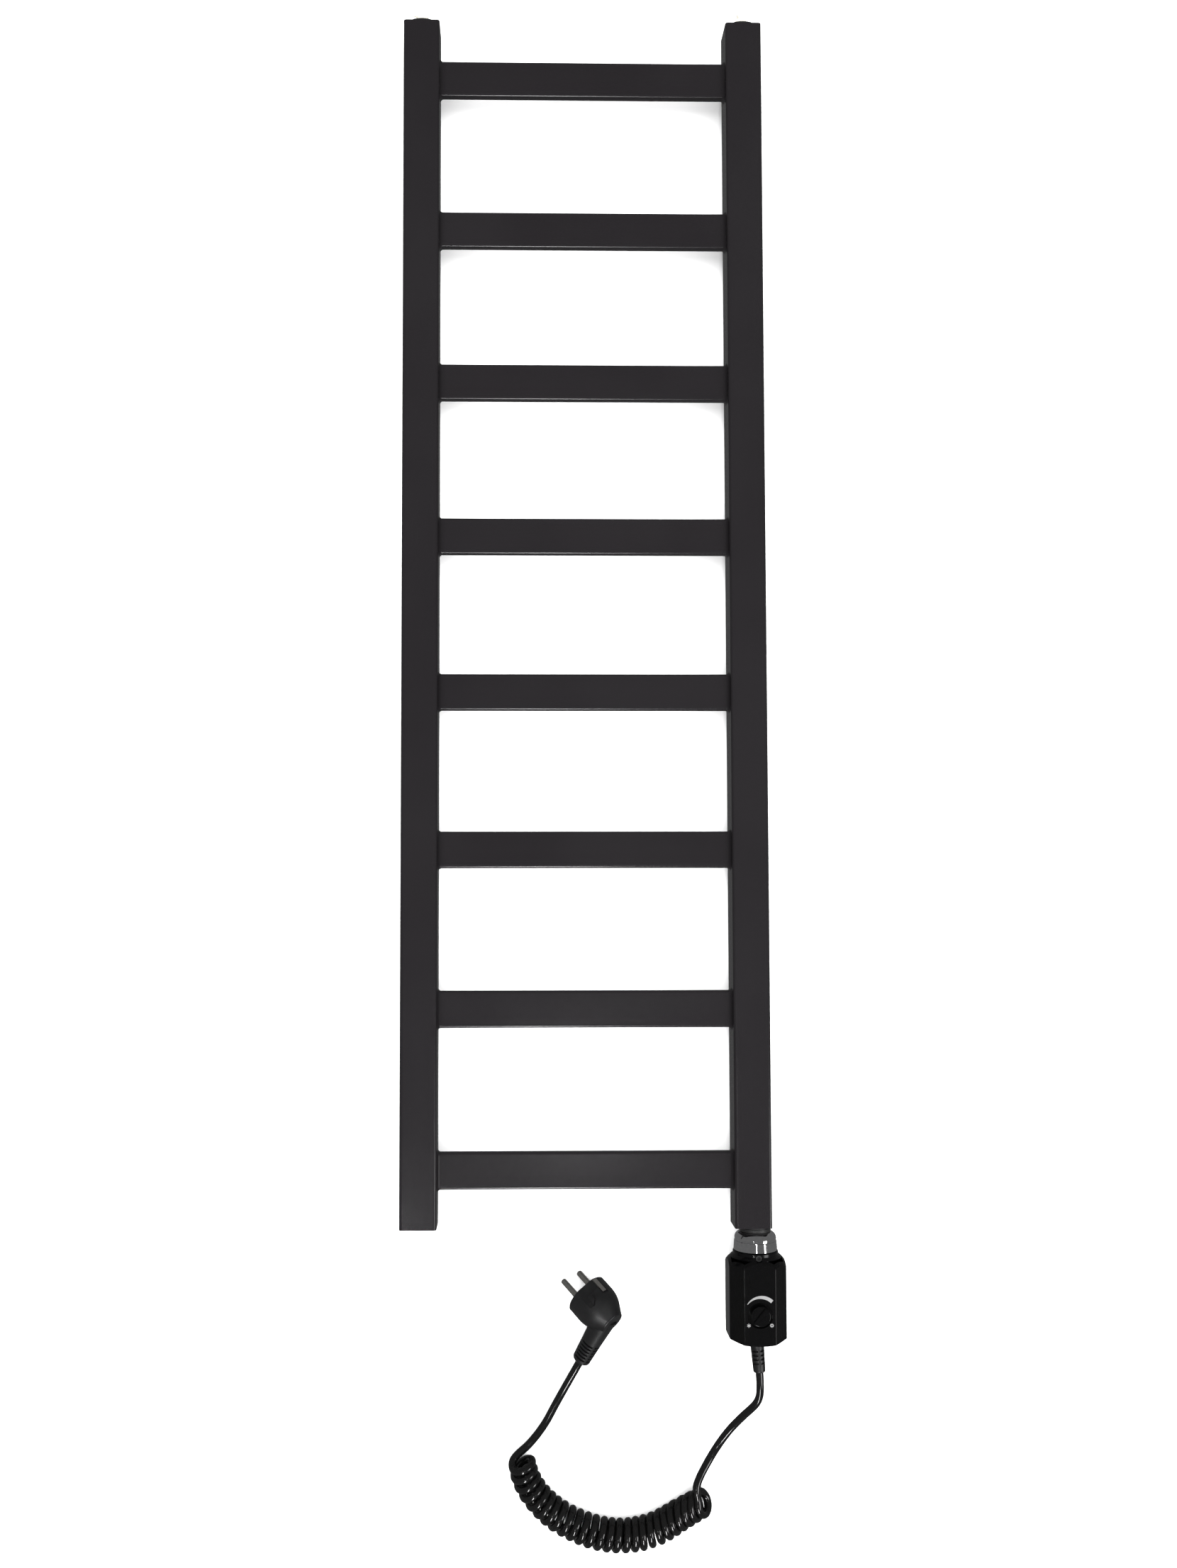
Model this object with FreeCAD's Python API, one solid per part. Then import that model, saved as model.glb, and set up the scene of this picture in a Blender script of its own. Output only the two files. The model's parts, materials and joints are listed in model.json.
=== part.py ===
import FreeCAD, Part
import math
import os

# Electric towel warmer rack: two square posts joined by eight flat rungs, heated from below by an
# element screwed into the right post, with a thermostat head and a curly mains cord.
#
# The rack lies on its four wall spacers with its front face up.
# +X is to the right, +Y up the ladder, +Z out of the wall. Millimetres.
# The origin is the centre of the four wall fixing holes, on the wall plane.

V = FreeCAD.Vector
X, Y, Z = V(1, 0, 0), V(0, 1, 0), V(0, 0, 1)

# Rack
RACK_WIDTH = 300.0
RACK_HEIGHT = 1000.0
POST = 30.0
POST_WALL = 1.5
POST_CORNER = 2.5
STAND_OFF = 20.0
RUNG_COUNT = 8
RUNG_HEIGHT = 30.0
RUNG_DEPTH = 8.0
RUNG_WALL = 1.2
RUNG_CORNER = 2.0
RUNG_RECESS = 10.0
END_MARGIN = 30.0
WELD_LEG = 2.0

# Wall fixing
FIXING_SPACING_Y = 780.0
SPACER_RADIUS = 11.0
STUD_RADIUS = 4.0
WALL_THREAD_RADIUS = 3.4
WALL_THREAD_DEPTH = 12.0
INSERT_RADIUS = 6.0
INSERT_LENGTH = 10.0

# Post ends
CAP_THICKNESS = 3.0
BUSH_LENGTH = 12.0
VENT_THREAD_RADIUS = 6.5
ELEMENT_THREAD_RADIUS = 9.8

# Heating element and thermostat head: how far right of the post's middle they sit, then distances
# below the bottom of the posts
ELEMENT_SHIFT = 3.2
GASKET_END = 4.8
COVER_END = 19.4
COLLAR_END = 31.0
COLLAR_RADIUS = 18.3
COLLAR_STEP = 26.2
COLLAR_SHANK = 15.8
HEAD_TOP = 22.3
SHOULDER_END = 30.2
SET_SCREW_DROP = 22.9
HEAD_BOTTOM = 91.0
HEAD_WIDTH = 46.0
HEAD_DEPTH = 45.0
HEAD_CHAMFER = 10.4
HEAD_WALL = 2.2
KNOB_DROP = 66.5
KNOB_RADIUS = 7.9
WELL_RADIUS = 10.2
WELL_DEPTH = 2.5
SPINDLE_RADIUS = 3.0
RUNNING_GAP = 0.05
RELIEF_START = 85.2
RELIEF_LENGTH = 32.3
RELIEF_LEAN = 4.4
POINTER_ANGLE = 45.0

# Cord and plug
CORD_RADIUS = 3.2
CURL_RADIUS = 13.1
PIN_RADIUS = 2.4
PIN_LENGTH = 19.0
PIN_SPACING = 19.0
PLUG_RADIUS = 18.2
PLUG_ELBOW = 25.5
PLUG_BACK = 34.0
PLUG_NECK = 48.5
PLUG_SLEEVE = 24.0

# Worked out from the sizes above
POST_X = (RACK_WIDTH - POST) / 2
ELEMENT_X = POST_X + ELEMENT_SHIFT
AXIS_Z = STAND_OFF + POST / 2
FRONT_Z = STAND_OFF + POST
TOP_Y = RACK_HEIGHT / 2
BOTTOM_Y = -TOP_Y
INNER_X = POST_X - POST / 2
RUNG_Z = FRONT_Z - RUNG_RECESS - RUNG_DEPTH / 2
PITCH = (RACK_HEIGHT - 2 * END_MARGIN - RUNG_HEIGHT) / (RUNG_COUNT - 1)
BORE = POST - 2 * POST_WALL
FACE_Z = AXIS_Z + HEAD_DEPTH / 2
SPLIT_GAP = 0.2

# The lead goes on from the strain relief, sags, and climbs into the right end of the curl.
LEAD_ROUTE = [
    V(140.0, -643.0, 32.0),
    V(131.0, -656.0, 23.0),
    V(118.7, -670.5, 14.5),
    V(107.7, -686.0, 11.0),
    V(98.2, -700.5, 12.0),
    V(91.7, -714.5, 17.0),
    V(89.5, -727.0, 21.0),
]
# The middle of the curl, from its left end to its right end.
CURL_ROUTE = [
    V(-52.0, -693.5, CURL_RADIUS),
    V(-50.0, -710.5, CURL_RADIUS),
    V(-29.5, -734.5, CURL_RADIUS),
    V(-0.5, -750.5, CURL_RADIUS),
    V(28.5, -757.0, CURL_RADIUS),
    V(57.0, -752.0, CURL_RADIUS),
    V(82.5, -736.5, CURL_RADIUS),
    V(101.5, -727.5, CURL_RADIUS),
]
# The tail leaves the left end of the curl and runs up to the plug.
TAIL_ROUTE = [
    V(-59.0, -713.0, 13.0),
    V(-59.6, -699.5, 7.0),
    V(-51.8, -687.8, 3.8),
    V(-41.5, -678.5, 3.4),
    V(-31.8, -667.5, 3.4),
    V(-24.0, -654.0, 3.4),
    V(-15.1, -638.5, 4.4),
]
CORD_STUB = 12.0

# The plug leans on its rim and one pin: the middle of its face, the way the pins point, the line
# through both pins, and the way the cord leaves.
PLUG_FACE = V(0.8, -558.1, 18.5)
PLUG_FORWARD = V(-0.63, 0.59, -0.507).normalize()
PLUG_PIN_LINE = V(0.704, 0.157, -0.693)
PLUG_CORD = V(-0.402, -0.829, -0.388).normalize()


def outline(points, place):
    """A closed wire through points. A point with a third entry is the middle of an arc."""
    edges = []
    count = len(points)
    i = 0
    while i < count:
        start = place(*points[i][:2])
        middle = points[(i + 1) % count]
        if len(middle) == 3:
            end = place(*points[(i + 2) % count][:2])
            edges.append(Part.Arc(start, place(*middle[:2]), end).toShape())
            i += 2
        else:
            edges.append(Part.LineSegment(start, place(*middle)).toShape())
            i += 1
    return Part.Wire(edges)


def rounded_section(centre, u, v, width, height, radius):
    """A rounded rectangle about centre, width along u and height along v."""
    a, b = width / 2, height / 2
    mid = radius * (1 - math.sqrt(0.5))
    points = []
    for su, sv in ((1, -1), (1, 1), (-1, 1), (-1, -1)):
        flat = (su * (a - radius), sv * b)
        side = (su * a, sv * (b - radius))
        via = (su * (a - mid), sv * (b - mid), "via")
        points += [flat, via, side] if su * sv < 0 else [side, via, flat]
    return outline(points, lambda p, q: centre + u * p + v * q)


def rounded_bar(start, along, length, u, v, width, height, radius):
    """A bar of rounded rectangular section."""
    return Part.Face(rounded_section(start, u, v, width, height, radius)).extrude(along * length)


def turned(points, x, z):
    """A solid turned about the line through x and z that runs along Y. Points are radius, y."""
    face = Part.Face(outline(points, lambda r, y: V(x + r, y, z)))
    return face.revolve(V(x, 0, z), Y, 360)


def rod_y(x, z, radius, y0, y1):
    return Part.makeCylinder(radius, y1 - y0, V(x, y0, z), Y)


def rod_z(x, y, radius, z0, z1):
    return Part.makeCylinder(radius, z1 - z0, V(x, y, z0), Z)


def block(x0, x1, y0, y1, z0, z1):
    return Part.makeBox(x1 - x0, y1 - y0, z1 - z0, V(x0, y0, z0))


def polygon_prism(points, start_z, length):
    """A prism along Z on a flat outline of x, y points."""
    wire = outline(points, lambda a, b: V(a, b, start_z))
    return Part.Face(wire).extrude(V(0, 0, length))


def below(distance):
    """The y of a station this far below the bottom of the posts."""
    return BOTTOM_Y - distance


def rung_y(index):
    return TOP_Y - END_MARGIN - RUNG_HEIGHT / 2 - index * PITCH


def save(name, solids):
    """Writes one node: a solid, or a group of separate solids."""
    shape = solids if isinstance(solids, Part.Shape) else Part.makeCompound(list(solids))
    for solid in shape.Solids:
        if not solid.isValid() or solid.Volume <= 0:
            raise ValueError(name + " is not a sound solid")
    shape.exportStep(os.path.join("parts", name + ".step"))
    print(name, len(shape.Solids), round(shape.Volume, 1))


# ---- posts, rungs and what is welded to them ----


def rung_bar(index, x0, x1, shrink=0.0, grow=0.0):
    """The rung's outer or inner bar between two x positions."""
    height = RUNG_HEIGHT - 2 * shrink + 2 * grow
    depth = RUNG_DEPTH - 2 * shrink + 2 * grow
    radius = RUNG_CORNER - shrink + grow
    return rounded_bar(V(x0, rung_y(index), RUNG_Z), X, x1 - x0, Y, Z, height, depth, radius)


def fixing_points():
    return [V(sx * POST_X, sy * FIXING_SPACING_Y / 2, 0) for sx in (-1, 1) for sy in (-1, 1)]


def post(side):
    """A square tube with a slot for each rung and holes for the two threaded inserts."""
    x = side * POST_X
    start = V(x, BOTTOM_Y, AXIS_Z)
    tube = rounded_bar(start, Y, RACK_HEIGHT, X, Z, POST, POST, POST_CORNER)
    bore = rounded_bar(start, Y, RACK_HEIGHT, X, Z, BORE, BORE, POST_CORNER - POST_WALL)
    cuts = [bore]
    inside = side * (INNER_X + POST_WALL)
    outside = side * (INNER_X - POST_WALL)
    for index in range(RUNG_COUNT):
        cuts.append(rung_bar(index, min(inside, outside), max(inside, outside)))
    for point in fixing_points():
        cuts.append(rod_z(point.x, point.y, INSERT_RADIUS, STAND_OFF, STAND_OFF + POST_WALL))
    return tube.cut(cuts)


def rung(index):
    """A flat tube let into the inner wall of each post."""
    end = INNER_X + POST_WALL
    return rung_bar(index, -end, end).cut(rung_bar(index, -end, end, shrink=RUNG_WALL))


def weld_bead(index, side):
    """A fillet of weld around a rung, against the post."""
    sections = []
    for reach, grow in ((0.0, WELD_LEG), (0.55 * WELD_LEG, 0.35 * WELD_LEG), (WELD_LEG, 0.1)):
        centre = V(side * (INNER_X - reach), rung_y(index), RUNG_Z)
        height = RUNG_HEIGHT + 2 * grow
        depth = RUNG_DEPTH + 2 * grow
        sections.append(rounded_section(centre, Y, Z, height, depth, RUNG_CORNER + grow))
    bead = Part.makeLoft(sections, True, True)
    return bead.cut(rung_bar(index, -RACK_WIDTH / 2, RACK_WIDTH / 2))


def end_cap(side, y0, length, hole_x, hole_radius):
    """A plate or bush let into the end of a post."""
    start = V(side * POST_X, y0, AXIS_Z)
    cap = rounded_bar(start, Y, length, X, Z, BORE, BORE, POST_CORNER - POST_WALL)
    if hole_radius:
        cap = cap.cut(rod_y(hole_x, AXIS_Z, hole_radius, y0, y0 + length))
    return cap


def threaded_insert(point):
    body = rod_z(point.x, point.y, INSERT_RADIUS, STAND_OFF, STAND_OFF + INSERT_LENGTH)
    return body.cut(rod_z(point.x, point.y, STUD_RADIUS, STAND_OFF, STAND_OFF + INSERT_LENGTH))


def wall_spacer(point):
    """A turned spacer: a stud for the insert at one end, a threaded hole for the wall at the other."""
    body = rod_z(point.x, point.y, SPACER_RADIUS, 0, STAND_OFF)
    rims = [e for e in body.Edges if e.Closed and e.Curve.TypeId == "Part::GeomCircle"]
    body = body.makeChamfer(1.0, rims)
    stud = rod_z(point.x, point.y, STUD_RADIUS, STAND_OFF - 1, STAND_OFF + INSERT_LENGTH - 1)
    hole = rod_z(point.x, point.y, WALL_THREAD_RADIUS, 0, WALL_THREAD_DEPTH)
    return body.fuse(stud).cut(hole).removeSplitter()


# ---- air vents on the tops of the posts ----

VENT_FLANGE_Y = TOP_Y + 0.8
VENT_FLANGE_TOP = TOP_Y + 3.1
VENT_BARREL_TOP = TOP_Y + 7.0
VENT_NECK_TOP = TOP_Y + 11.6
VENT_NECK_RADIUS = 3.2
VENT_SCREW_RADIUS = 1.8
VENT_ACROSS_FLATS = 24.0


def vent_plug(x):
    """The threaded body of a manual air vent: a six-sided flange with a flat to the front, a round
    barrel, a neck for the nozzle and a bore for the screw."""
    bore = VENT_SCREW_RADIUS + RUNNING_GAP
    body = turned(
        [
            (bore, TOP_Y - 8),
            (VENT_THREAD_RADIUS, TOP_Y - 8),
            (VENT_THREAD_RADIUS, VENT_BARREL_TOP - 1.2),
            (6.1, VENT_BARREL_TOP - 0.3, "via"),
            (5.4, VENT_BARREL_TOP),
            (VENT_NECK_RADIUS, VENT_BARREL_TOP),
            (VENT_NECK_RADIUS, VENT_NECK_TOP),
            (bore, VENT_NECK_TOP),
        ],
        x,
        AXIS_Z,
    )
    flange = hexagon_prism(x, AXIS_Z, VENT_ACROSS_FLATS, VENT_FLANGE_Y, VENT_FLANGE_TOP)
    dome = turned(
        [
            (VENT_THREAD_RADIUS, VENT_FLANGE_Y),
            (13.9, VENT_FLANGE_Y),
            (13.9, VENT_FLANGE_TOP - 0.9),
            (12.0, VENT_FLANGE_TOP),
            (VENT_THREAD_RADIUS, VENT_FLANGE_TOP),
        ],
        x,
        AXIS_Z,
    )
    return body.fuse(flange.common(dome)).removeSplitter()


def vent_seal(x):
    outer = rod_y(x, AXIS_Z, 10.5, TOP_Y, VENT_FLANGE_Y)
    return outer.cut(rod_y(x, AXIS_Z, VENT_THREAD_RADIUS, TOP_Y, VENT_FLANGE_Y))


def vent_nozzle(x, swing):
    """A ring that swivels on the neck, with a slanted spout. swing turns the spout from -X."""
    base = VENT_BARREL_TOP + 0.3
    top = VENT_NECK_TOP - 0.2
    spout_start = V(x, (base + top) / 2, AXIS_Z)
    slant = math.radians(25)
    way = V(-math.cos(slant), math.sin(slant), 0)
    ring = rod_y(x, AXIS_Z, 4.7, base, top).fuse(Part.makeCylinder(1.4, 7.5, spout_start, way))
    ring = ring.cut(
        [
            rod_y(x, AXIS_Z, VENT_NECK_RADIUS + RUNNING_GAP, base - 1, top + 6),
            Part.makeCylinder(0.7, 4.5, spout_start + way * 4.5, way),
        ]
    )
    ring.rotate(V(x, 0, AXIS_Z), Y, swing)
    return ring


def vent_screw(x):
    """A bleed screw with a slotted head."""
    head_base = VENT_NECK_TOP + 0.2
    head_top = VENT_NECK_TOP + 1.4
    screw = rod_y(x, AXIS_Z, VENT_SCREW_RADIUS, TOP_Y - 6, head_base)
    screw = screw.fuse(rod_y(x, AXIS_Z, 2.6, head_base, head_top)).removeSplitter()
    return screw.cut(block(x - 3, x + 3, head_top - 0.7, head_top, AXIS_Z - 0.4, AXIS_Z + 0.4))


# ---- heating element below the right post ----


def element_gasket():
    """A black rubber ring between the post and the chrome cover, with a shallow groove."""
    return turned(
        [
            (ELEMENT_THREAD_RADIUS, below(0)),
            (12.0, below(0)),
            (12.6, below(0.6)),
            (12.6, below(1.2)),
            (12.2, below(1.5)),
            (12.6, below(1.8)),
            (12.6, below(4.2)),
            (12.0, below(GASKET_END)),
            (ELEMENT_THREAD_RADIUS, below(GASKET_END)),
        ],
        ELEMENT_X,
        AXIS_Z,
    )


def element_cover():
    """The chrome cover: a rounded shoulder, a groove and a slightly flared skirt."""
    return turned(
        [
            (10.35, below(GASKET_END)),
            (12.6, below(GASKET_END)),
            (15.5, below(6.4), "via"),
            (16.8, below(9.6)),
            (16.8, below(10.4)),
            (16.2, below(10.8)),
            (16.2, below(11.6)),
            (17.1, below(12.0)),
            (17.6, below(COVER_END - 0.4)),
            (17.3, below(COVER_END)),
            (14.6, below(COVER_END)),
            (14.6, below(9.5)),
            (12.4, below(7.2)),
            (10.35, below(7.2)),
        ],
        ELEMENT_X,
        AXIS_Z,
    )


def hexagon_prism(x, z, across_flats, y0, y1):
    radius = across_flats / math.sqrt(3)
    corners = []
    for k in range(7):
        angle = math.radians(60 * k)
        corners.append(V(x + radius * math.cos(angle), y0, z + radius * math.sin(angle)))
    return Part.Face(Part.makePolygon(corners)).extrude(V(0, y1 - y0, 0))


ROD_OFFSET = 3.2
POCKET_OFFSET = 5.6


def element_adaptor():
    """The brass adaptor: thread, hexagon and spigot, drilled for the rod and the sensor pocket."""
    body = rod_y(ELEMENT_X, AXIS_Z, ELEMENT_THREAD_RADIUS, below(GASKET_END), below(-BUSH_LENGTH))
    hexagon = hexagon_prism(ELEMENT_X, AXIS_Z, 24.0, below(16.0), below(9.8))
    shank = rod_y(ELEMENT_X, AXIS_Z, 10.2, below(9.8), below(GASKET_END))
    spigot = rod_y(ELEMENT_X, AXIS_Z, 9.0, below(COLLAR_END), below(16.0))
    body = body.fuse([shank, hexagon, spigot]).removeSplitter()
    drilled = [
        rod_y(ELEMENT_X - ROD_OFFSET, AXIS_Z, 4.75, below(14.0), below(-BUSH_LENGTH)),
        rod_y(ELEMENT_X + POCKET_OFFSET, AXIS_Z, 2.0, below(14.0), below(-BUSH_LENGTH)),
        rod_y(ELEMENT_X, AXIS_Z, 5.5, below(COLLAR_END), below(14.0)),
    ]
    return body.cut(drilled)


def closed_rod(x, radius, y0, length):
    """A rod or pocket with a rounded upper end."""
    rod = rod_y(x, AXIS_Z, radius, y0, y0 + length)
    tip = [e for e in rod.Edges if e.Closed and abs(e.CenterOfMass.y - y0 - length) < 0.01]
    return rod.makeFillet(radius * 0.6, tip)


def head_collar():
    """The clamping collar that slips over the adaptor's spigot and carries the set screw."""
    ring = turned(
        [
            (9.0, below(COVER_END + 0.2)),
            (COLLAR_RADIUS - 0.4, below(COVER_END + 0.2)),
            (COLLAR_RADIUS, below(COVER_END + 0.8)),
            (COLLAR_RADIUS, below(COLLAR_STEP)),
            (COLLAR_SHANK, below(COLLAR_STEP)),
            (COLLAR_SHANK, below(COLLAR_END)),
            (9.0, below(COLLAR_END)),
        ],
        ELEMENT_X,
        AXIS_Z,
    )
    return ring.cut(rod_z(ELEMENT_X, below(SET_SCREW_DROP), 2.5, AXIS_Z + 5, AXIS_Z + 20))


def set_screw():
    """A socket set screw that clamps the spigot."""
    screw = rod_z(0, 0, 2.5, 9.0, 17.6)
    corners = [V(1.45, 0, 15.2)]
    for k in range(6):
        corners.append(FreeCAD.Rotation(Z, 60).multVec(corners[-1]))
    screw = screw.cut(Part.Face(Part.makePolygon(corners)).extrude(Z * 3))
    screw.translate(V(ELEMENT_X, below(SET_SCREW_DROP), AXIS_Z))
    return screw


# ---- thermostat head ----

KNOB_Y = below(KNOB_DROP)
BOTTOM_CURVE = 81.0


def octagon_bar(shrink, y0, y1):
    """The head's eight-sided bar between two y positions."""
    a = HEAD_WIDTH / 2 - shrink
    b = HEAD_DEPTH / 2 - shrink
    c = HEAD_CHAMFER - shrink * (2 - math.sqrt(2))
    right = [(a - c, -b), (a, c - b), (a, b - c), (a - c, b)]
    left = [(-p, -q) for p, q in right]
    points = right + left
    face = Part.Face(outline(points, lambda p, q: V(ELEMENT_X + p, y0, AXIS_Z + q)))
    return face.extrude(V(0, y1 - y0, 0))


def head_outside():
    """The closed outer form: an eight-sided bar with a domed shoulder and a bowed bottom."""
    bar = octagon_bar(0, below(HEAD_BOTTOM + 1), below(HEAD_TOP))
    bow_centre = V(ELEMENT_X, below(HEAD_BOTTOM - BOTTOM_CURVE), AXIS_Z - HEAD_DEPTH)
    bar = bar.common(Part.makeCylinder(BOTTOM_CURVE, 2 * HEAD_DEPTH, bow_centre, Z))
    uprights = [e for e in bar.Edges if e.BoundBox.XLength + e.BoundBox.ZLength < 0.01]
    bar = bar.makeFillet(0.9, uprights)
    bottom_rim = [e for e in bar.Edges if e.BoundBox.YMax < below(HEAD_BOTTOM - 6)]
    bar = bar.makeFillet(0.8, bottom_rim)
    dome = turned(
        [
            (0, below(HEAD_TOP)),
            (COLLAR_RADIUS + 0.1, below(HEAD_TOP)),
            (22.2, below(25.6), "via"),
            (25.7, below(SHOULDER_END)),
            (27.0, below(HEAD_BOTTOM + 2)),
            (0, below(HEAD_BOTTOM + 2)),
        ],
        ELEMENT_X,
        AXIS_Z,
    )
    return bar.common(dome)


def screw_columns(reach):
    """Where the four housing screws go, as x, y, and how wide the column is."""
    points = []
    for sx in (-1, 1):
        for drop in (35.0, 80.0):
            points.append((ELEMENT_X + sx * 15.2, below(drop), reach))
    return points


def head_shells():
    """The front and rear shells, hollowed, drilled and split across the middle."""
    outside = head_outside()
    inside = octagon_bar(HEAD_WALL, below(HEAD_BOTTOM - 5), below(HEAD_TOP + HEAD_WALL))
    for x, y, reach in screw_columns(3.2):
        inside = inside.cut(rod_z(x, y, reach, AXIS_Z - HEAD_DEPTH, AXIS_Z + HEAD_DEPTH))
    inside = inside.cut(rod_z(ELEMENT_X, KNOB_Y, WELL_RADIUS + 1.8, FACE_Z - WELL_DEPTH - 1.8, FACE_Z))
    shell = outside.cut(inside)
    cuts = [
        rod_y(ELEMENT_X, AXIS_Z, COLLAR_RADIUS, below(COLLAR_STEP), below(HEAD_TOP - 1)),
        rod_z(ELEMENT_X, below(SET_SCREW_DROP), 2.9, AXIS_Z + 10, FACE_Z + 1),
        rod_y(ELEMENT_X + 0.3, AXIS_Z, 6.5, below(HEAD_BOTTOM + 1), below(HEAD_BOTTOM - 6)),
        rod_z(ELEMENT_X, KNOB_Y, WELL_RADIUS, FACE_Z - WELL_DEPTH, FACE_Z + 1),
        rod_z(ELEMENT_X, KNOB_Y, SPINDLE_RADIUS + 0.6, AXIS_Z, FACE_Z),
    ]
    for x, y, reach in screw_columns(1.5):
        cuts.append(rod_z(x, y, reach, AXIS_Z - HEAD_DEPTH, AXIS_Z + 14))
        cuts.append(rod_z(x, y, 2.9, AXIS_Z - HEAD_DEPTH, AXIS_Z - HEAD_DEPTH / 2 + 6))
    shell = shell.cut(cuts)
    span = (ELEMENT_X - HEAD_WIDTH, ELEMENT_X + HEAD_WIDTH, below(HEAD_BOTTOM + 20), below(0))
    front = shell.common(block(*span, AXIS_Z + SPLIT_GAP / 2, AXIS_Z + HEAD_DEPTH))
    rear = shell.common(block(*span, AXIS_Z - HEAD_DEPTH, AXIS_Z - SPLIT_GAP / 2))
    return front.removeSplitter(), rear.removeSplitter()


def housing_screw(x, y):
    """A screw from the rear, with a cross recess."""
    seat = AXIS_Z - HEAD_DEPTH / 2 + 6
    screw = rod_z(x, y, 2.8, seat - 2.2, seat).fuse(rod_z(x, y, 1.5, seat, AXIS_Z + 14)).removeSplitter()
    slot = block(x - 1.6, x + 1.6, y - 0.35, y + 0.35, seat - 2.2, seat - 1.0)
    cross = block(x - 0.35, x + 0.35, y - 1.6, y + 1.6, seat - 2.2, seat - 1.0)
    return screw.cut([slot, cross])


def knob():
    """A round knob with a grip ridge that widens towards its pointer end."""
    base_z = FACE_Z - WELL_DEPTH + 0.4
    deck_z = FACE_Z + 3.4
    disc = rod_z(0, 0, KNOB_RADIUS, base_z, deck_z)
    rim = [e for e in disc.Edges if e.Closed and abs(e.CenterOfMass.z - deck_z) < 0.01]
    disc = disc.makeFillet(0.6, rim)
    grip = polygon_prism([(-7.7, -1.0), (7.7, -2.4), (7.7, 2.4), (-7.7, 1.0)], deck_z - 1, 2.8)
    top = [e for e in grip.Edges if e.BoundBox.ZMin > deck_z + 1.7]
    grip = grip.makeChamfer(0.6, top).common(rod_z(0, 0, KNOB_RADIUS - 0.3, deck_z - 1, deck_z + 4))
    bore = rod_z(0, 0, SPINDLE_RADIUS, base_z, FACE_Z + 1.5)
    shape = disc.fuse(grip).removeSplitter().cut(bore)
    shape.rotate(V(), Z, POINTER_ANGLE)
    shape.translate(V(ELEMENT_X, KNOB_Y, 0))
    return shape


BOARD_Z = AXIS_Z + 4.0
POT_TOP = AXIS_Z + 13.0


def spindle():
    return rod_z(ELEMENT_X, KNOB_Y, SPINDLE_RADIUS, BOARD_Z + 3.0, FACE_Z + 1.2)


def potentiometer():
    """The potentiometer's case and bush, on the control board."""
    case = block(ELEMENT_X - 8, ELEMENT_X + 8, KNOB_Y - 8, KNOB_Y + 8, BOARD_Z, POT_TOP)
    bush = rod_z(ELEMENT_X, KNOB_Y, 4.6, POT_TOP, FACE_Z - WELL_DEPTH - 1.8)
    bore = rod_z(ELEMENT_X, KNOB_Y, SPINDLE_RADIUS + RUNNING_GAP, BOARD_Z + 2.5, FACE_Z)
    return case.fuse(bush).removeSplitter().cut(bore)


def control_board():
    return block(ELEMENT_X - 11, ELEMENT_X + 11, below(81), below(38), BOARD_Z - 1.6, BOARD_Z)


def power_relay():
    relay = block(ELEMENT_X - 9, ELEMENT_X + 9, below(52), below(41), BOARD_Z, BOARD_Z + 12)
    return relay.makeFillet(0.8, [e for e in relay.Edges if e.BoundBox.ZMin > BOARD_Z + 11])


def terminal_block():
    """A three-pole terminal block under the board, with screw wells and wire mouths."""
    z1 = BOARD_Z - 1.6
    body = block(ELEMENT_X - 10.5, ELEMENT_X + 10.5, below(72), below(62), z1 - 9, z1)
    cuts = []
    for k in (-1, 0, 1):
        cuts.append(rod_z(ELEMENT_X + 6.5 * k, below(67), 2.0, z1 - 9, z1 - 6))
        cuts.append(rod_y(ELEMENT_X + 6.5 * k, z1 - 4.0, 1.2, below(72), below(67.5)))
    return body.cut(cuts)


def mains_core(k):
    """One insulated core, from the strain relief to its terminal."""
    z_end = BOARD_Z - 5.6
    start = V(ELEMENT_X + 2.6 * k, below(82.0), AXIS_Z - 1.0)
    bend = V(ELEMENT_X + 6.5 * k, below(75), z_end)
    end = V(ELEMENT_X + 6.5 * k, below(67.6), z_end)
    return tube([start, bend, end], 1.15)


def cord_clamp():
    """A saddle that grips the three cores inside the head."""
    bar = block(ELEMENT_X - 9, ELEMENT_X + 9, below(80), below(77), AXIS_Z - 15, AXIS_Z - 6)
    holes = [rod_z(ELEMENT_X + s * 6.5, below(78.5), 1.2, AXIS_Z - 15, AXIS_Z - 6) for s in (-1, 1)]
    return bar.cut(holes)


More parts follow.
